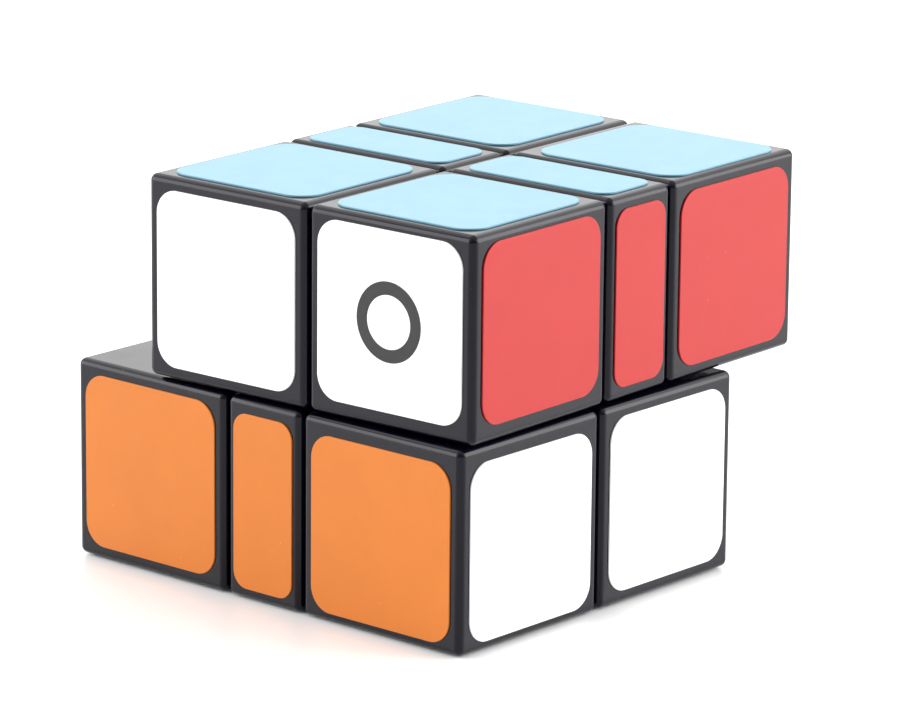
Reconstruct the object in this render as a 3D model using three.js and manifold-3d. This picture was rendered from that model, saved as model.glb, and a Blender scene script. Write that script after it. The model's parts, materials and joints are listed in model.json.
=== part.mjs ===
// Shape-shifting twisty puzzle: a 2 x 2 x 3 cuboid with a narrow middle slice. Its upper layer stands
// a little more than a quarter turn away from its lower layer. Millimetres, +Z up; the origin is the
// middle of the bounding box's underside.
//
// Each layer is built in its own frame: y runs along the layer's long side, x across it, and z away
// from the plane between the two layers, with the core's centre at the origin.
import * as THREE from "three";
import { RoundedBoxGeometry } from "three/addons/geometries/RoundedBoxGeometry.js";
import { mergeVertices } from "three/addons/utils/BufferGeometryUtils.js";
import Module from "manifold-3d";

const wasm = await Module();
wasm.setup();

// ---------------------------------------------------------------- driving dimensions
// Cubies
const WIDE = 25; // side of a wide cell, and height of a layer
const NARROW = 12.1; // length of a cell in the narrow middle slice
const GAP = 0.4; // play between two neighbouring cubies
const EDGE_RADIUS = 0.9;
const EDGE_STEPS = 2; // facets on each half of a rounded edge
const WALL = 2; // wall of a hollow cubie
const TWIST = THREE.MathUtils.degToRad(1.97); // upper layer, past its quarter turn

// Stickers
const STICKER_THICKNESS = 0.15;
const GLUE = 0.05; // thickness of the adhesive behind a sticker
const WIDE_MARGIN = 1.74; // from the edge of a wide cell to its sticker
const NARROW_MARGIN = 1.35;
const WIDE_CORNER = 3;
const NARROW_CORNER = 2.1;
const CORNER_STEPS = 4; // facets round a sticker's corner

// Stickers that were put on off centre, and how far, in their layer's frame
const OFF_CENTRE = {
  top_front_right_white_sticker: [0, 0, 0.4],
  top_front_right_red_sticker: [0, 0, 0.4],
  top_back_right_blue_sticker: [0.5, 0, 0],
  bottom_front_right_orange_sticker: [0, 0, 0.45],
  bottom_front_right_white_sticker: [0, 0, 0.45],
  bottom_front_middle_orange_sticker: [0, 0, 0.25],
};

// Mechanism: distances from the core's centre, along an arm where the piece sits on one
const RUNNING = 0.3; // clearance between pieces that turn past each other
const ROUND_STEPS = 32; // facets round a sphere or a ring
const SMALL_ROUND_STEPS = 16; // facets round a small cylinder
const CAVITY_RADIUS = 17.6; // ball-shaped hollow in the middle of the puzzle
const CORE_RADIUS = 7.4;
const POST_RADIUS = 2.1;
const FOOT = { inner: 8, outer: 10.6, offset: 2.6 }; // shell under the hubs, clear of the posts
const STALK_REACH = 13; // how far the stalk runs out into its cubie, along each axis
const HUB = { radius: 5, inner: 11, outer: 16.2 };
const POST_LENGTH = { fixed: 14, turning: 10.6 };
const HUB_BORE = { radius: POST_RADIUS + RUNNING, end: POST_LENGTH.fixed + RUNNING };
const WELL = { radius: 3.5, floor: 12.2 }; // recess for the spring and the screw's head
const SCREW = { shank: 1.2, tip: 3, head: 3, underside: 15.6, top: 16.8 };
const DRIVE = { length: 3.6, width: 0.8, depth: 0.8 }; // cross recess in the screw's head
const PILOT_RADIUS = 1.4;
const WASHER = { bore: 1.5, radius: 3.1, from: 15.1, to: 15.5 };
const SPRING = { radius: 2.4, wire: 0.25, from: 12.6, to: 14.7, turns: 3.5 };
const STEPS_PER_TURN = 10; // straight lengths in a turn of the spring
const WIRE_STEPS = 6; // facets round its wire

// Hook that holds a far cubie to the narrow slice, as a ring about the layer's long axis
const HOOK = { radius: 20.5, neck: 0.8, head: 1.8, from: 6, to: 8, root: 1, end: 3 };

// Opening from the cavity into a hollow cubie
const VENT = { from: 2.6, to: 5 };

// ---------------------------------------------------------------- materials
const BLACK = 0x2d2c32;
const NATURAL = 0xd9d9d4; // undyed nylon of the core and hubs
const STEEL = 0xa9abb0;
const STICKER_COLOURS = {
  blue: 0xcaf0ff,
  white: 0xfafafa,
  yellow: 0xf7e04a,
  orange: 0xf3954f,
  red: 0xf06866,
  green: 0x5cc47c,
};

function plastic(colour, roughness) {
  return new THREE.MeshStandardMaterial({ color: colour, roughness, metalness: 0 });
}

const blackPlastic = plastic(BLACK, 0.2);
const nylon = plastic(NATURAL, 0.45);
const steel = new THREE.MeshStandardMaterial({ color: STEEL, roughness: 0.3, metalness: 1 });
const vinyl = {};
for (const [name, colour] of Object.entries(STICKER_COLOURS)) {
  vinyl[name] = plastic(colour, 0.4);
}

// ---------------------------------------------------------------- solids
function toSolid(geometry) {
  const bare = geometry.clone();
  bare.deleteAttribute("normal");
  bare.deleteAttribute("uv");
  const merged = mergeVertices(bare);
  return new wasm.Manifold(
    new wasm.Mesh({
      numProp: 3,
      vertProperties: new Float32Array(merged.attributes.position.array),
      triVerts: new Uint32Array(merged.index.array),
    }),
  );
}

function toGeometry(solid) {
  const mesh = solid.getMesh();
  const geometry = new THREE.BufferGeometry();
  geometry.setAttribute("position", new THREE.BufferAttribute(mesh.vertProperties, 3));
  geometry.setIndex(new THREE.BufferAttribute(mesh.triVerts, 1));
  geometry.computeVertexNormals();
  return geometry;
}

function namedMesh(name, geometry, material) {
  const mesh = new THREE.Mesh(geometry, material);
  mesh.name = name;
  return mesh;
}

function boxSolid(box) {
  const size = box.getSize(new THREE.Vector3());
  const centre = box.getCenter(new THREE.Vector3());
  return toSolid(new THREE.BoxGeometry(size.x, size.y, size.z).translate(...centre));
}

function ballSolid(radius) {
  return toSolid(new THREE.SphereGeometry(radius, ROUND_STEPS, ROUND_STEPS / 2).rotateX(Math.PI / 2));
}

// A turned piece: its outline is a list of [radius, distance along the y axis].
function turned(outline, steps = SMALL_ROUND_STEPS) {
  return new THREE.LatheGeometry(
    outline.map(([radius, along]) => new THREE.Vector2(radius, along)),
    steps,
  );
}

function rodSolid(radius, from, to, direction) {
  const length = to - from;
  const rod = new THREE.CylinderGeometry(radius, radius, length, SMALL_ROUND_STEPS);
  rod.translate(0, from + length / 2, 0);
  return toSolid(rod.applyQuaternion(turnTo(direction)));
}

function turnTo(direction) {
  return new THREE.Quaternion().setFromUnitVectors(new THREE.Vector3(0, 1, 0), direction);
}

// ---------------------------------------------------------------- cubies
// The two columns of a layer, and its three slices: a wide one on the near side of the core, then
// the narrow one and the far wide one.
const COLUMNS = { minus: [-WIDE, 0], plus: [0, WIDE] };
const SLICES = { near: [-WIDE, 0], middle: [0, NARROW], far: [NARROW, NARROW + WIDE] };

function cellBox(column, slice) {
  const [xFrom, xTo] = COLUMNS[column];
  const [yFrom, yTo] = SLICES[slice];
  return new THREE.Box3(new THREE.Vector3(xFrom, yFrom, 0), new THREE.Vector3(xTo, yTo, WIDE));
}

// A box that reaches as far along x, y and z, in the eighth of space where the given signs hold.
function eighthBox(signs, from, to) {
  const corners = [from, to].map((reach) => signs.clone().multiplyScalar(reach));
  return new THREE.Box3().setFromPoints(corners);
}

function cubieBlock(cell) {
  const size = cell.getSize(new THREE.Vector3()).subScalar(GAP);
  const centre = cell.getCenter(new THREE.Vector3());
  const block = new RoundedBoxGeometry(size.x, size.y, size.z, EDGE_STEPS, EDGE_RADIUS);
  return toSolid(block.translate(...centre));
}

// The room inside a hollow cubie, with the opening that joins it to the middle of the puzzle.
function hollowInside(cell, signs) {
  const room = boxSolid(cell.clone().expandByScalar(-GAP / 2 - WALL));
  const hollow = room.subtract(ballSolid(CAVITY_RADIUS + WALL));
  const vent = new THREE.Box3().setFromPoints([
    new THREE.Vector3(signs.x * VENT.from, signs.y * (CAVITY_RADIUS - WALL), VENT.from),
    new THREE.Vector3(signs.x * VENT.to, signs.y * (CAVITY_RADIUS + WALL), VENT.to),
  ]);
  return hollow.add(boxSolid(vent));
}

// The stalk that reaches in past the hubs, and the foot that they hook over.
function stalkAndFoot(block, signs) {
  const stalk = boxSolid(eighthBox(signs, HUB.radius + RUNNING, STALK_REACH)).intersect(block);
  const shell = ballSolid(FOOT.outer).subtract(ballSolid(FOOT.inner));
  const foot = boxSolid(eighthBox(signs, FOOT.offset, FOOT.outer)).intersect(shell);
  return stalk.add(foot);
}

// The hook's ring about the y axis; play makes the groove that it slides in.
function hookRing(play) {
  const neckIn = HOOK.radius - HOOK.neck - play;
  const neckOut = HOOK.radius + HOOK.neck + play;
  const headIn = HOOK.radius - HOOK.head - play;
  const headOut = HOOK.radius + HOOK.head + play;
  const rootEnd = NARROW + GAP / 2 + HOOK.root;
  const outline = [
    [headIn, HOOK.from - play],
    [headOut, HOOK.from - play],
    [headOut, HOOK.to + play],
    [neckOut, HOOK.to + play],
    [neckOut, rootEnd],
    [neckIn, rootEnd],
    [neckIn, HOOK.to + play],
    [headIn, HOOK.to + play],
    [headIn, HOOK.from - play],
  ];
  return toSolid(turned(outline, ROUND_STEPS));
}

function wideNearCubie(cell, signs) {
  const block = cubieBlock(cell);
  const shell = block.subtract(ballSolid(CAVITY_RADIUS)).subtract(hollowInside(cell, signs));
  return shell.add(stalkAndFoot(block, signs));
}

function narrowCubie(cell, signs) {
  const block = cubieBlock(cell);
  const body = block.subtract(ballSolid(CAVITY_RADIUS)).add(stalkAndFoot(block, signs));
  return body.subtract(hookRing(RUNNING));
}

function wideFarCubie(cell, signs) {
  const shell = cubieBlock(cell).subtract(ballSolid(CAVITY_RADIUS)).subtract(hollowInside(cell, signs));
  const sector = boxSolid(eighthBox(signs, HOOK.end, WIDE - WALL));
  return shell.add(hookRing(0).intersect(sector));
}

const CUBIE_MAKERS = { near: wideNearCubie, middle: narrowCubie, far: wideFarCubie };

const cubieGeometries = {};
for (const column of Object.keys(COLUMNS)) {
  for (const slice of Object.keys(SLICES)) {
    const signs = new THREE.Vector3(column === "plus" ? 1 : -1, slice === "near" ? -1 : 1, 1);
    const cubie = CUBIE_MAKERS[slice](cellBox(column, slice), signs);
    cubieGeometries[`${column} ${slice}`] = toGeometry(cubie);
  }
}

// ---------------------------------------------------------------- stickers
function stickerGeometry(width, height) {
  const isWide = (side) => side === WIDE;
  const cut = (side) => side - 2 * (isWide(side) ? WIDE_MARGIN : NARROW_MARGIN);
  const halfWidth = cut(width) / 2;
  const halfHeight = cut(height) / 2;
  const radius = isWide(width) && isWide(height) ? WIDE_CORNER : NARROW_CORNER;
  const outline = new THREE.Shape();
  outline.absarc(halfWidth - radius, halfHeight - radius, radius, 0, Math.PI / 2);
  outline.absarc(radius - halfWidth, halfHeight - radius, radius, Math.PI / 2, Math.PI);
  outline.absarc(radius - halfWidth, radius - halfHeight, radius, Math.PI, 1.5 * Math.PI);
  outline.absarc(halfWidth - radius, radius - halfHeight, radius, 1.5 * Math.PI, 2 * Math.PI);
  return new THREE.ExtrudeGeometry(outline, {
    depth: STICKER_THICKNESS,
    bevelEnabled: false,
    curveSegments: CORNER_STEPS / 2, // an arc gets two facets for each
  });
}

function stickerMesh(name, colour, cell, normal) {
  const up = normal.z === 0 ? new THREE.Vector3(0, 0, 1) : new THREE.Vector3(0, 1, 0);
  const across = new THREE.Vector3().crossVectors(up, normal);
  const size = cell.getSize(new THREE.Vector3());
  const width = Math.abs(size.dot(across));
  const height = Math.abs(size.dot(up));
  const depth = Math.abs(size.dot(normal)) / 2 - GAP / 2 + GLUE;
  const mesh = namedMesh(name, stickerGeometry(width, height), vinyl[colour]);
  mesh.quaternion.setFromRotationMatrix(new THREE.Matrix4().makeBasis(across, up, normal));
  mesh.position.copy(cell.getCenter(new THREE.Vector3())).addScaledVector(normal, depth);
  mesh.position.add(new THREE.Vector3(...(OFF_CENTRE[name] ?? [0, 0, 0])));
  return mesh;
}

// The faces that a cubie shows: its outer face, its column's side, and its end of the layer.
function shownFaces(column, slice) {
  const faces = [
    ["outer", new THREE.Vector3(0, 0, 1)],
    [`${column} side`, new THREE.Vector3(column === "plus" ? 1 : -1, 0, 0)],
  ];
  if (slice !== "middle") {
    faces.push([`${slice} end`, new THREE.Vector3(0, slice === "near" ? -1 : 1, 0)]);
  }
  return faces;
}

// ---------------------------------------------------------------- layers
// names gives each cell's place on the whole puzzle, and colours the sticker of each side.
function makeLayer(names, colours) {
  const layer = new THREE.Group();
  for (const column of Object.keys(COLUMNS)) {
    for (const slice of Object.keys(SLICES)) {
      const key = `${column} ${slice}`;
      layer.add(namedMesh(`${names[key]}_cubie`, cubieGeometries[key], blackPlastic));
      for (const [side, normal] of shownFaces(column, slice)) {
        const colour = colours[side];
        const name = `${names[key]}_${colour}_sticker`;
        layer.add(stickerMesh(name, colour, cellBox(column, slice), normal));
      }
    }
  }
  return layer;
}

function upperLayer() {
  const names = {
    "minus near": "top_front_left",
    "plus near": "top_front_right",
    "minus middle": "top_middle_left",
    "plus middle": "top_middle_right",
    "minus far": "top_back_left",
    "plus far": "top_back_right",
  };
  const colours = {
    outer: "blue",
    "minus side": "orange",
    "plus side": "red",
    "near end": "white",
    "far end": "yellow",
  };
  const layer = makeLayer(names, colours);
  layer.rotation.z = TWIST;
  return layer;
}

// The lower layer is the same solid, upside down and with its long side along -X.
function lowerLayer() {
  const names = {
    "minus near": "bottom_back_right",
    "plus near": "bottom_front_right",
    "minus middle": "bottom_back_middle",
    "plus middle": "bottom_front_middle",
    "minus far": "bottom_back_left",
    "plus far": "bottom_front_left",
  };
  const colours = {
    outer: "green",
    "minus side": "red",
    "plus side": "orange",
    "near end": "white",
    "far end": "yellow",
  };
  const layer = makeLayer(names, colours);
  const basis = new THREE.Matrix4().makeBasis(
    new THREE.Vector3(0, -1, 0),
    new THREE.Vector3(-1, 0, 0),
    new THREE.Vector3(0, 0, -1),
  );
  layer.quaternion.setFromRotationMatrix(basis);
  return layer;
}

// ---------------------------------------------------------------- mechanism
// Three arms of the core carry fixed hubs; the other three carry hubs that turn on a screw.
const FIXED_ARMS = {
  left: new THREE.Vector3(-1, 0, 0),
  back: new THREE.Vector3(0, 1, 0),
  bottom: new THREE.Vector3(0, 0, -1),
};
const TURNING_ARMS = {
  right: new THREE.Vector3(1, 0, 0),
  front: new THREE.Vector3(0, -1, 0),
  top: new THREE.Vector3(0, 0, 1),
};

function coreGeometry() {
  let core = ballSolid(CORE_RADIUS);
  for (const direction of Object.values(FIXED_ARMS)) {
    core = core.add(rodSolid(POST_RADIUS, 0, POST_LENGTH.fixed, direction));
  }
  for (const direction of Object.values(TURNING_ARMS)) {
    core = core.add(rodSolid(POST_RADIUS, 0, POST_LENGTH.turning, direction));
  }
  for (const direction of Object.values(TURNING_ARMS)) {
    core = core.subtract(rodSolid(PILOT_RADIUS, SCREW.tip - RUNNING, HUB.inner, direction));
  }
  return toGeometry(core);
}

function fixedHubGeometry() {
  return turned([
    [0, HUB_BORE.end],
    [HUB_BORE.radius, HUB_BORE.end],
    [HUB_BORE.radius, HUB.inner],
    [HUB.radius, HUB.inner],
    [HUB.radius, HUB.outer],
    [0, HUB.outer],
  ]);
}

function turningHubGeometry() {
  const bore = SCREW.shank + RUNNING;
  return turned([
    [bore, HUB.inner],
    [HUB.radius, HUB.inner],
    [HUB.radius, HUB.outer],
    [WELL.radius, HUB.outer],
    [WELL.radius, WELL.floor],
    [bore, WELL.floor],
    [bore, HUB.inner],
  ]);
}

function screwGeometry() {
  const blank = turned([
    [0, SCREW.tip],
    [SCREW.shank, SCREW.tip],
    [SCREW.shank, SCREW.underside],
    [SCREW.head, SCREW.underside],
    [SCREW.head, SCREW.top],
    [0, SCREW.top],
  ]);
  const slot = new THREE.Box3(
    new THREE.Vector3(-DRIVE.length / 2, SCREW.top - DRIVE.depth, -DRIVE.width / 2),
    new THREE.Vector3(DRIVE.length / 2, SCREW.top + DRIVE.depth, DRIVE.width / 2),
  );
  const crossSlot = new THREE.Box3(
    new THREE.Vector3(slot.min.z, slot.min.y, slot.min.x),
    new THREE.Vector3(slot.max.z, slot.max.y, slot.max.x),
  );
  return toGeometry(toSolid(blank).subtract(boxSolid(slot)).subtract(boxSolid(crossSlot)));
}

function washerGeometry() {
  return turned([
    [WASHER.bore, WASHER.from],
    [WASHER.radius, WASHER.from],
    [WASHER.radius, WASHER.to],
    [WASHER.bore, WASHER.to],
    [WASHER.bore, WASHER.from],
  ]);
}

class Helix extends THREE.Curve {
  getPoint(fraction, target = new THREE.Vector3()) {
    const angle = fraction * SPRING.turns * 2 * Math.PI;
    const along = THREE.MathUtils.lerp(SPRING.from, SPRING.to, fraction);
    return target.set(SPRING.radius * Math.cos(angle), along, SPRING.radius * Math.sin(angle));
  }
}

function springGeometry() {
  const section = new THREE.Shape();
  section.absarc(0, 0, SPRING.wire, 0, 2 * Math.PI);
  return new THREE.ExtrudeGeometry(section, {
    extrudePath: new Helix(),
    steps: SPRING.turns * STEPS_PER_TURN,
    curveSegments: WIRE_STEPS / 2, // an arc gets two facets for each
  });
}

function mechanism() {
  const group = new THREE.Group();
  group.add(namedMesh("core", coreGeometry(), nylon));
  for (const [side, direction] of Object.entries(FIXED_ARMS)) {
    const hub = namedMesh(`${side}_fixed_hub`, fixedHubGeometry(), nylon);
    hub.quaternion.copy(turnTo(direction));
    group.add(hub);
  }
  for (const [side, direction] of Object.entries(TURNING_ARMS)) {
    const arm = new THREE.Group();
    arm.quaternion.copy(turnTo(direction));
    arm.add(namedMesh(`${side}_turning_hub`, turningHubGeometry(), nylon));
    arm.add(namedMesh(`${side}_spring`, springGeometry(), steel));
    arm.add(namedMesh(`${side}_washer`, washerGeometry(), steel));
    arm.add(namedMesh(`${side}_screw`, screwGeometry(), steel));
    group.add(arm);
  }
  return group;
}

// ---------------------------------------------------------------- whole puzzle
const puzzle = new THREE.Group();
puzzle.add(lowerLayer(), upperLayer(), mechanism());

// Stand the puzzle on its lowest stickers, with its bounding box centred on the z axis.
puzzle.updateMatrixWorld(true);
const bounds = new THREE.Box3().setFromObject(puzzle, true);
const middle = bounds.getCenter(new THREE.Vector3());
puzzle.position.set(-middle.x, -middle.y, -bounds.min.z);

export default puzzle;
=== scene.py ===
"""Looks of the twisty puzzle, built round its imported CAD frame.

Every cubie is its CAD solid with its faceted edges made truly round. Every sticker is cut again, with round
corners and a soft edge. The pieces of the mechanism keep their CAD shape.
"""

import json
import math

import bmesh
import bpy
from mathutils import Matrix, Vector


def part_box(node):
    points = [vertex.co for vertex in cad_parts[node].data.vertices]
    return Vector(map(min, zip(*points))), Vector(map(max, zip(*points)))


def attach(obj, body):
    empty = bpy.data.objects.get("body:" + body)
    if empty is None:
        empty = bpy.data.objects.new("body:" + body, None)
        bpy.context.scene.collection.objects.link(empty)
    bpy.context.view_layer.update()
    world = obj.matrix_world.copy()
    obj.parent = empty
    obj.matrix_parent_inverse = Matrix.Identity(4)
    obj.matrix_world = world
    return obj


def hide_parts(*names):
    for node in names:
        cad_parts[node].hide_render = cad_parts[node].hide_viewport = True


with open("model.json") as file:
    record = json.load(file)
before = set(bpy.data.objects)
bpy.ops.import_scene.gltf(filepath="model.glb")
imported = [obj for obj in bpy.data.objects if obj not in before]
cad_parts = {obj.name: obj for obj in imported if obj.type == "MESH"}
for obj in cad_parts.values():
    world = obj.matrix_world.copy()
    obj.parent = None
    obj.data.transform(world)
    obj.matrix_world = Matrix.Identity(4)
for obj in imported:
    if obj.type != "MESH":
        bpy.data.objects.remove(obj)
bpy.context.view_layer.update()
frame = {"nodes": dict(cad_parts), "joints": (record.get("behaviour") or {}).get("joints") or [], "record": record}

# ---------------------------------------------------------------- sizes, in metres
MM = 0.001
WELD = 0.001 * MM
EDGE_RADIUS = 0.9 * MM  # rounding of a cubie's edges, as in the CAD
EDGE_STEPS = 8  # facets round a quarter turn of it
STICKER_EDGE = 0.09 * MM  # softening of a sticker's upper edge
STICKER_EDGE_STEPS = 3
STICKER_CORNER_STEPS = 14
ADHESIVE = 0.04 * MM  # how far a sticker's back comes down to its cubie
PRINTED_STICKER = "top_front_right_white_sticker"
MARK_RADIUS = 4 * MM  # of the plain ring printed on it
MARK_LINE = 1.6 * MM
SMOOTH_ANGLE = math.radians(28)
UPRIGHT = 0.001  # how far a vertical face's normal may lean
ON_FACETS = 0.8  # part of the edge radius that a point on the CAD's facets is at least out

joint = frame["joints"][0]
AXIS = Vector(joint["pos_m"])  # the core's centre, on the axis that the upper layer turns on

# ---------------------------------------------------------------- camera
CAMERA_AZIMUTH = 41.15  # degrees, from straight in front towards the right
CAMERA_ELEVATION = 14.78
CAMERA_ROLL = 0.52
CAMERA_DISTANCE = 632.2 * MM
CAMERA_AIM = AXIS + Vector((-2.62, 4.18, 0)) * MM
SENSOR = 36  # its width in mm
LENS = 210.2  # focal length in mm
CLIP_START = 10 * MM


def direction(azimuth, elevation):
    """The unit vector that points that way, given in degrees."""
    azimuth = math.radians(azimuth)
    elevation = math.radians(elevation)
    level = math.cos(elevation)
    return Vector((math.sin(azimuth) * level, -math.cos(azimuth) * level, math.sin(elevation)))


def place_facing(name, data, aim, azimuth, elevation, distance):
    """Adds a camera or a light that looks at the aim from the given direction, in degrees."""
    back = direction(azimuth, elevation)
    holder = bpy.data.objects.new(name, data)
    turn = back.to_track_quat("Z", "Y").to_matrix().to_4x4()
    holder.matrix_world = Matrix.Translation(aim + back * distance) @ turn
    bpy.context.scene.collection.objects.link(holder)
    return holder


def make_camera():
    camera = bpy.data.cameras.new("camera")
    camera.lens = LENS
    camera.sensor_width = SENSOR
    camera.clip_start = CLIP_START
    holder = place_facing("camera", camera, CAMERA_AIM, CAMERA_AZIMUTH, CAMERA_ELEVATION, CAMERA_DISTANCE)
    holder.matrix_world = holder.matrix_world @ Matrix.Rotation(math.radians(CAMERA_ROLL), 4, "Z")
    bpy.context.scene.camera = holder


# ---------------------------------------------------------------- materials
STICKER_COLOURS = {
    "blue": (0.154, 0.342, 0.44),
    "white": (0.86, 0.86, 0.86),
    "yellow": (0.56, 0.385, 0.02),
    "orange": (0.558, 0.153, 0.011),
    "red": (0.405, 0.009, 0.007),
    "green": (0.05, 0.42, 0.14),
}
INK = (0.012, 0.012, 0.013)
# Two shades of each of these, which noise mixes
BLACKS = ((0.0015, 0.0012, 0.0055), (0.003, 0.0025, 0.0075))
NYLONS = ((0.62, 0.61, 0.57), (0.7, 0.69, 0.66))
STEELS = ((0.5, 0.5, 0.52), (0.66, 0.66, 0.67))
DUST = (0.2, 0.2, 0.2)  # on the black plastic


def map_range(tree, output, low, high, start, end):
    """Maps output from start..end to low..high."""
    node = tree.nodes.new("ShaderNodeMapRange")
    settings = {"From Min": start, "From Max": end, "To Min": low, "To Max": high}
    for name, value in settings.items():
        node.inputs[name].default_value = value
    tree.links.new(output, node.inputs["Value"])
    return node.outputs["Result"]


class Surface:
    """A node-based material: a principled shader, and short calls that add the nodes that feed it."""

    def __init__(self, name):
        self.material = bpy.data.materials.new(name)
        self.material.use_nodes = True
        self.tree = self.material.node_tree
        self.shader = self.tree.nodes["Principled BSDF"]
        self.place = self.tree.nodes.new("ShaderNodeTexCoord").outputs["Object"]

    def set(self, **values):
        """Sets inputs of the shader, named with _ for each space."""
        for name, value in values.items():
            self.shader.inputs[name.replace("_", " ")].default_value = value

    def feed(self, output, name):
        self.tree.links.new(output, self.shader.inputs[name])

    def noise(self, size, detail=2.0, stretch=(1, 1, 1), roughness=0.5):
        """Noise whose features are about size metres across."""
        mapping = self.tree.nodes.new("ShaderNodeMapping")
        mapping.inputs["Scale"].default_value = stretch
        self.tree.links.new(self.place, mapping.inputs["Vector"])
        noise = self.tree.nodes.new("ShaderNodeTexNoise")
        noise.inputs["Scale"].default_value = 1 / size
        noise.inputs["Detail"].default_value = detail
        noise.inputs["Roughness"].default_value = roughness
        self.tree.links.new(mapping.outputs["Vector"], noise.inputs["Vector"])
        return noise.outputs["Fac"]

    def specks(self, spacing, radius, chance):
        """1 on small round specks: cells of a Voronoi pattern, few of which carry one."""
        voronoi = self.tree.nodes.new("ShaderNodeTexVoronoi")
        voronoi.inputs["Scale"].default_value = 1 / spacing
        self.tree.links.new(self.place, voronoi.inputs["Vector"])
        near = self.calculate("LESS_THAN", voronoi.outputs["Distance"], radius / spacing)
        parts = self.tree.nodes.new("ShaderNodeSeparateColor")
        self.tree.links.new(voronoi.outputs["Color"], parts.inputs["Color"])
        chosen = self.calculate("LESS_THAN", parts.outputs["Red"], chance)
        return self.calculate("MULTIPLY", near, chosen)

    def ring(self, centre, radius, line):
        """1 on a ring round the centre."""
        offset = self.tree.nodes.new("ShaderNodeVectorMath")
        offset.operation = "DISTANCE"
        offset.inputs[1].default_value = centre
        self.tree.links.new(self.place, offset.inputs[0])
        beyond = self.calculate("SUBTRACT", offset.outputs["Value"], radius)
        return self.calculate("LESS_THAN", self.calculate("ABSOLUTE", beyond, 0), line / 2)

    def calculate(self, operation, first, second):
        """The result of the operation on two values, each a number or a socket."""
        node = self.tree.nodes.new("ShaderNodeMath")
        node.operation = operation
        for socket, value in zip(node.inputs, (first, second)):
            if isinstance(value, bpy.types.NodeSocket):
                self.tree.links.new(value, socket)
            else:
                socket.default_value = value
        return node.outputs["Value"]

    def spread(self, output, low, high, start=0.3, end=0.7):
        """Maps noise to low..high, from the part of 0..1 that it mostly stays in."""
        return map_range(self.tree, output, low, high, start, end)

    def blend(self, factor, first, second):
        """Mixes two colours, each a socket or three numbers; a factor of 1 gives the second."""
        node = self.tree.nodes.new("ShaderNodeMix")
        node.data_type = "RGBA"
        self.tree.links.new(factor, node.inputs["Factor"])
        # Its sockets for colours come after those for numbers and vectors
        for socket, colour in ((node.inputs[6], first), (node.inputs[7], second)):
            if isinstance(colour, bpy.types.NodeSocket):
                self.tree.links.new(colour, socket)
            else:
                socket.default_value = (*colour, 1)
        return node.outputs[2]

    def bump(self, height, depth):
        """Relief that is depth metres deep where height goes from 0 to 1."""
        node = self.tree.nodes.new("ShaderNodeBump")
        node.inputs["Distance"].default_value = depth
        self.tree.links.new(height, node.inputs["Height"])
        self.feed(node.outputs["Normal"], "Normal")


def shade(colour, factor):
    """The colour, made that much darker or lighter."""
    return tuple(min(1, part * factor) for part in colour)


def pale(colour, amount):
    """The colour, with that much of white mixed in."""
    return tuple(part + (1 - part) * amount for part in colour)


def black_plastic():
    """Polished black plastic: faint ripple, handling haze and a few dust specks."""
    surface = Surface("black_plastic")
    surface.set(IOR=1.31)
    haze = surface.noise(6 * MM, detail=4)
    surface.feed(surface.spread(haze, 0.1, 0.2), "Roughness")
    tint = surface.spread(surface.noise(3 * MM), 0, 1)
    plain = surface.blend(tint, *BLACKS)
    dust = surface.specks(spacing=1.7 * MM, radius=0.06 * MM, chance=0.12)
    surface.feed(surface.blend(dust, plain, DUST), "Base Color")
    surface.bump(surface.noise(2.5 * MM, detail=1), 0.004 * MM)
    return surface.material


def vinyl(name, colour, mark_centre=None):
    """Sticker vinyl: nearly even colour, a smooth satin face, small scuffs and dust. A plain ring is
    printed round mark_centre."""
    surface = Surface(f"{name}_vinyl")
    surface.set(IOR=1.4)
    cloud = surface.spread(surface.noise(7 * MM, detail=3), 0, 1)
    plain = surface.blend(cloud, shade(colour, 0.97), shade(colour, 1.02))
    scuffs = surface.noise(0.9 * MM, detail=6, stretch=(1, 1, 3), roughness=0.75)
    scuffed = surface.spread(scuffs, 0, 0.35, start=0.66, end=0.8)
    worn = surface.blend(scuffed, plain, shade(colour, 0.9))
    if mark_centre:
        worn = surface.blend(surface.ring(mark_centre, MARK_RADIUS, MARK_LINE), worn, INK)
    dust = surface.specks(spacing=2.3 * MM, radius=0.08 * MM, chance=0.12)
    surface.feed(surface.blend(dust, worn, pale(colour, 0.2)), "Base Color")
    surface.feed(surface.spread(surface.noise(3 * MM, detail=2), 0.35, 0.38), "Roughness")
    surface.bump(surface.noise(1.5 * MM, detail=1), 0.0004 * MM)
    return surface.material


def nylon():
    """Undyed moulded nylon of the core and hubs."""
    surface = Surface("core_plastic")
    surface.set(Subsurface_Weight=0.05)
    flow = surface.spread(surface.noise(4 * MM, detail=3), 0, 1)
    surface.feed(surface.blend(flow, *NYLONS), "Base Color")
    surface.feed(surface.spread(surface.noise(0.6 * MM), 0.4, 0.55), "Roughness")
    surface.bump(surface.noise(0.3 * MM), 0.004 * MM)
    return surface.material


def steel(name, stretch, roughness):
    """Bright steel with fine lines drawn along one direction."""
    surface = Surface(name)
    surface.set(Metallic=1.0)
    lines = surface.noise(0.15 * MM, detail=3, stretch=stretch)
    surface.feed(surface.blend(lines, *STEELS), "Base Color")
    surface.feed(surface.spread(lines, roughness, roughness + 0.12), "Roughness")
    surface.bump(lines, 0.002 * MM)
    return surface.material


def make_materials():
    materials = {f"{name}_vinyl": vinyl(name, colour) for name, colour in STICKER_COLOURS.items()}
    low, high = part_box(PRINTED_STICKER)
    materials["printed"] = vinyl("printed_white", STICKER_COLOURS["white"], (low + high) / 2)
    materials["black_plastic"] = black_plastic()
    materials["core_plastic"] = nylon()
    materials["steel"] = steel("steel", stretch=(1, 1, 1), roughness=0.22)
    materials["spring_steel"] = steel("spring_steel", stretch=(1, 1, 8), roughness=0.3)
    return materials


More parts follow.
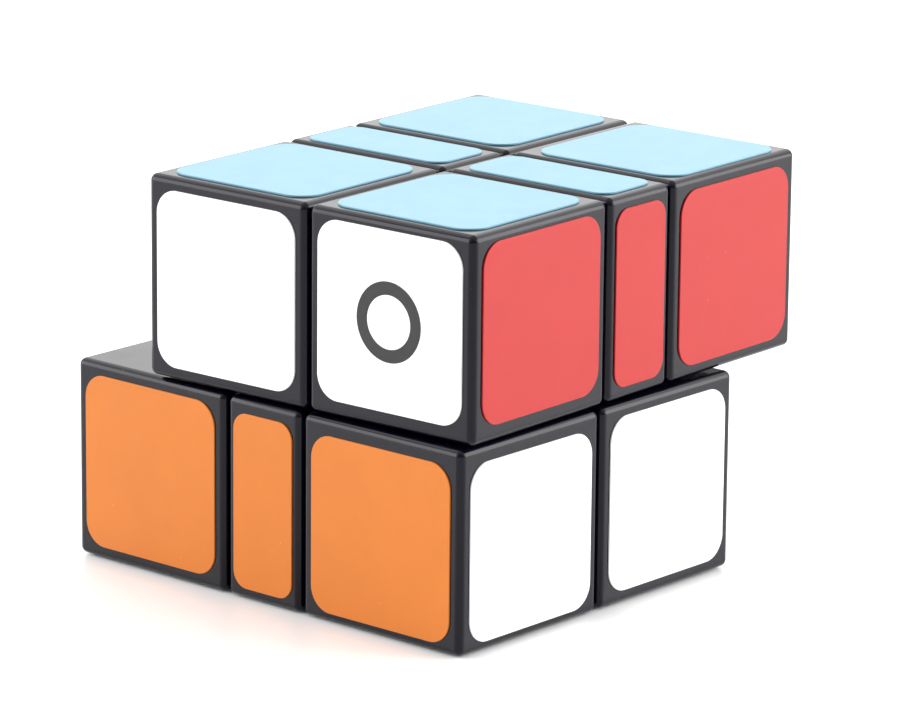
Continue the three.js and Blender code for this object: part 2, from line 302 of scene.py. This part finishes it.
# ---------------------------------------------------------------- mesh helpers
# The material slot and the body of each node
slots = {entry["node"]: entry["material_slot"] for entry in frame["record"]["subparts"]}
bodies = {
    node: body
    for body, members in frame["record"]["behaviour"]["bodies"].items()
    for node in members
}


def layer_turn(node):
    """The matrix from a layer's own frame, square to its faces with the core's centre at the origin."""
    upright = [face for face in frame["nodes"][node].data.polygons if abs(face.normal.z) < UPRIGHT]
    normal = max(upright, key=lambda face: face.area).normal
    quarter = math.pi / 2
    angle = math.atan2(normal.y, normal.x)
    angle -= quarter * round(angle / quarter)
    return Matrix.Translation(AXIS) @ Matrix.Rotation(angle, 4, "Z")


def corners(points):
    """The lowest and the highest corner of the box round the points."""
    low = Vector(min(point[axis] for point in points) for axis in range(3))
    high = Vector(max(point[axis] for point in points) for axis in range(3))
    return low, high


def finish_piece(name, bm, node, material):
    """Turns the mesh into a smooth-shaded object that stands for the node and rides on its body."""
    mesh = bpy.data.meshes.new(name)
    bm.to_mesh(mesh)
    bm.free()
    mesh.shade_smooth()
    mesh.set_sharp_from_angle(angle=SMOOTH_ANGLE)
    mesh.materials.append(material)
    piece = bpy.data.objects.new(name, mesh)
    bpy.context.scene.collection.objects.link(piece)
    normals = piece.modifiers.new("flat faces stay flat", "WEIGHTED_NORMAL")
    normals.keep_sharp = True
    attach(piece, bodies[node])
    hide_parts(node)


# ---------------------------------------------------------------- cubies
def block_corners(bm):
    """The corners of a cubie's block. A cubie is never longer than it is tall: anything beyond that is
    its hook, which points to the middle of the puzzle."""
    low, high = corners([vert.co for vert in bm.verts])
    height = high.z - low.z
    for axis in (0, 1):
        if high[axis] - low[axis] > height + WELD:
            if high[axis] > -low[axis]:
                low[axis] = high[axis] - height
            else:
                high[axis] = low[axis] + height
    return low, high


def slice_rounding(bm, low, high):
    """Cuts the faceted edges of the block into fine strips, parallel to its faces."""
    for axis in range(3):
        normal = Vector(1 if other == axis else 0 for other in range(3))
        for start, inward in ((low, 1), (high, -1)):
            for step in range(1, EDGE_STEPS):
                depth = EDGE_RADIUS * (1 - math.cos(math.pi / 2 * step / EDGE_STEPS))
                point = normal * (start[axis] + inward * depth)
                everything = bm.verts[:] + bm.edges[:] + bm.faces[:]
                bmesh.ops.bisect_plane(bm, geom=everything, dist=WELD, plane_co=point, plane_no=normal)


def round_edges(bm, low, high):
    """Moves the points of the sliced edges out onto the true round surface."""
    inset = Vector((EDGE_RADIUS,) * 3)
    inner_low = low + inset
    inner_high = high - inset
    for vert in bm.verts:
        near = Vector(min(max(vert.co[axis], inner_low[axis]), inner_high[axis]) for axis in range(3))
        offset = vert.co - near
        beyond = sum(abs(part) > WELD for part in offset)
        if beyond >= 2 and ON_FACETS * EDGE_RADIUS < offset.length < EDGE_RADIUS + WELD:
            vert.co = near + offset.normalized() * EDGE_RADIUS


def make_cubie(node, material):
    """The CAD's cubie with the facets of its outer edges turned into fine roundings."""
    turn = layer_turn(node)
    bm = bmesh.new()
    bm.from_mesh(frame["nodes"][node].data)
    bmesh.ops.remove_doubles(bm, verts=bm.verts, dist=WELD)
    bm.transform(turn.inverted())
    low, high = block_corners(bm)
    slice_rounding(bm, low, high)
    round_edges(bm, low, high)
    bm.transform(turn)
    finish_piece(f"{node}_shell", bm, node, material)


# ---------------------------------------------------------------- stickers
def rounded_outline(half_width, half_height, radius, steps):
    """Points round a rectangle with round corners, counter-clockwise."""
    points = []
    for corner in range(4):
        start = math.pi / 2 * corner
        across = half_width - radius if corner in (0, 3) else radius - half_width
        up = half_height - radius if corner in (0, 1) else radius - half_height
        for step in range(steps + 1):
            angle = start + math.pi / 2 * step / steps
            points.append((across + radius * math.cos(angle), up + radius * math.sin(angle)))
    return points


def sticker_rings(width, height, radius, thickness):
    """The sticker's outline at its back, up its side and over its soft edge: (outline, level) pairs."""
    rings = [(0, 0)]
    for step in range(STICKER_EDGE_STEPS + 1):
        angle = math.pi / 2 * step / STICKER_EDGE_STEPS
        inset = STICKER_EDGE * (1 - math.cos(angle))
        rings.append((inset, thickness - STICKER_EDGE * (1 - math.sin(angle))))
    return [
        (rounded_outline(width / 2 - inset, height / 2 - inset, radius - inset, STICKER_CORNER_STEPS), level)
        for inset, level in rings
    ]


def skin_rings(bm, rings):
    """Joins each ring of points to the next, and closes the first and the last."""
    for ring, next_ring in zip(rings, rings[1:]):
        for index in range(len(ring)):
            following = (index + 1) % len(ring)
            bm.faces.new((ring[index], ring[following], next_ring[following], next_ring[index]))
    bm.faces.new(reversed(rings[0]))
    bm.faces.new(rings[-1])
    bmesh.ops.recalc_face_normals(bm, faces=bm.faces)


def outward(node, turn, size, middle):
    """The sticker's thin direction, away from the middle of its cubie."""
    axis = min(range(3), key=lambda candidate: size[candidate])
    cubie_low, cubie_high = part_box(node.rsplit("_", 2)[0] + "_cubie")
    cubie_middle = turn.inverted() @ ((cubie_low + cubie_high) / 2)
    normal = Vector((0, 0, 0))
    normal[axis] = math.copysign(1, middle[axis] - cubie_middle[axis])
    return normal


def corner_radius(points, middle, across, up):
    """Half of what the straight part of the sticker's side leaves of its height."""
    width = max(abs((point - middle).dot(across)) for point in points)
    side = [abs((point - middle).dot(up)) for point in points if (point - middle).dot(across) > width - WELD]
    return max(abs((point - middle).dot(up)) for point in points) - max(side)


def make_sticker(node, material):
    """Measures the CAD's sticker and cuts it again, down to its adhesive."""
    turn = layer_turn(node)
    points = [turn.inverted() @ vert.co for vert in frame["nodes"][node].data.vertices]
    low, high = corners(points)
    size = high - low
    middle = (low + high) / 2
    normal = outward(node, turn, size, middle)
    up = Vector((0, 1, 0)) if normal.z else Vector((0, 0, 1))
    across = up.cross(normal)
    radius = corner_radius(points, middle, across, up)
    back = middle - normal * (abs(size.dot(normal)) / 2 + ADHESIVE)
    thickness = abs(size.dot(normal)) + ADHESIVE

    bm = bmesh.new()
    rings = []
    for outline, level in sticker_rings(abs(size.dot(across)), abs(size.dot(up)), radius, thickness):
        rings.append([bm.verts.new(back + across * x + up * y + normal * level) for x, y in outline])
    skin_rings(bm, rings)
    bm.transform(turn)
    finish_piece(f"{node}_cut", bm, node, material)


# ---------------------------------------------------------------- mechanism
def dress_mechanism(node, material):
    """A piece of the mechanism keeps its CAD shape, with its round faces shaded smooth."""
    mesh = frame["nodes"][node].data
    mesh.materials.clear()
    mesh.materials.append(material)
    mesh.shade_smooth()
    mesh.set_sharp_from_angle(angle=SMOOTH_ANGLE)


# ---------------------------------------------------------------- stage and light
FLOOR = 3.0  # half of the floor's side, in metres
FLOOR_WHITE = (0.93, 0.93, 0.93, 1)
STUDIO_LIGHT = 1.25  # radiance of the studio all round
STUDIO_DARK = 0.4  # and behind the camera
DARK_ELEVATION = 10  # of the middle of the dark part, in degrees
DARK_FROM = 0.55  # cosine of the angle from that middle at which the studio starts to get dark
DARK_FULLY = 0.85  # and at which it is as dark as it gets


def make_floor():
    """A white satin sheet, which mirrors the puzzle faintly."""
    surface = Surface("floor")
    surface.set(Base_Color=FLOOR_WHITE, Roughness=0.32)
    mesh = bpy.data.meshes.new("floor")
    square = [(-FLOOR, -FLOOR, 0), (FLOOR, -FLOOR, 0), (FLOOR, FLOOR, 0), (-FLOOR, FLOOR, 0)]
    mesh.from_pydata(square, [], [range(4)])
    mesh.materials.append(surface.material)
    floor = bpy.data.objects.new("floor", mesh)
    bpy.context.scene.collection.objects.link(floor)


def make_world():
    """A bright studio that is dark where the photographer stands."""
    world = bpy.data.worlds.new("studio")
    world.use_nodes = True
    tree = world.node_tree
    directions = tree.nodes.new("ShaderNodeTexCoord").outputs["Generated"]
    facing = tree.nodes.new("ShaderNodeVectorMath")
    facing.operation = "DOT_PRODUCT"
    facing.inputs[1].default_value = direction(CAMERA_AZIMUTH, DARK_ELEVATION)
    tree.links.new(directions, facing.inputs[0])
    strength = map_range(tree, facing.outputs["Value"], STUDIO_LIGHT, STUDIO_DARK, DARK_FROM, DARK_FULLY)
    background = tree.nodes["Background"]
    background.inputs["Color"].default_value = (1, 1, 1, 1)
    tree.links.new(strength, background.inputs["Strength"])
    bpy.context.scene.world = world


def softbox(name, azimuth, elevation, distance, width, height, radiance):
    """A rectangular light that faces the puzzle. Its azimuth is measured as the camera's is, and its
    distance and sides are in metres."""
    light = bpy.data.lights.new(name, "AREA")
    light.shape = "RECTANGLE"
    light.size = width
    light.size_y = height
    light.energy = radiance * math.pi * width * height
    place_facing(name, light, AXIS, azimuth, elevation, distance)


def make_lights():
    softbox("left_softbox", azimuth=-50, elevation=20, distance=1.2, width=0.9, height=0.8, radiance=5.4)
    softbox("right_softbox", azimuth=130, elevation=18, distance=1.2, width=0.9, height=0.8, radiance=6.2)
    softbox("back_softbox", azimuth=221, elevation=17, distance=1.5, width=1.5, height=0.9, radiance=0.8)
    softbox("high_softbox", azimuth=180, elevation=42, distance=1.2, width=1.2, height=0.4, radiance=2)
    softbox("high_left_softbox", azimuth=265, elevation=47, distance=1.2, width=1, height=0.5, radiance=1.5)


# ---------------------------------------------------------------- the scene
make_camera()
make_floor()
make_world()
make_lights()
bpy.context.scene.view_settings.view_transform = "Standard"

materials = make_materials()
for node, slot in slots.items():
    if node.endswith("_cubie"):
        make_cubie(node, materials[slot])
    elif node.endswith("_sticker"):
        make_sticker(node, materials["printed" if node == PRINTED_STICKER else slot])
    else:
        dress_mechanism(node, materials[slot])
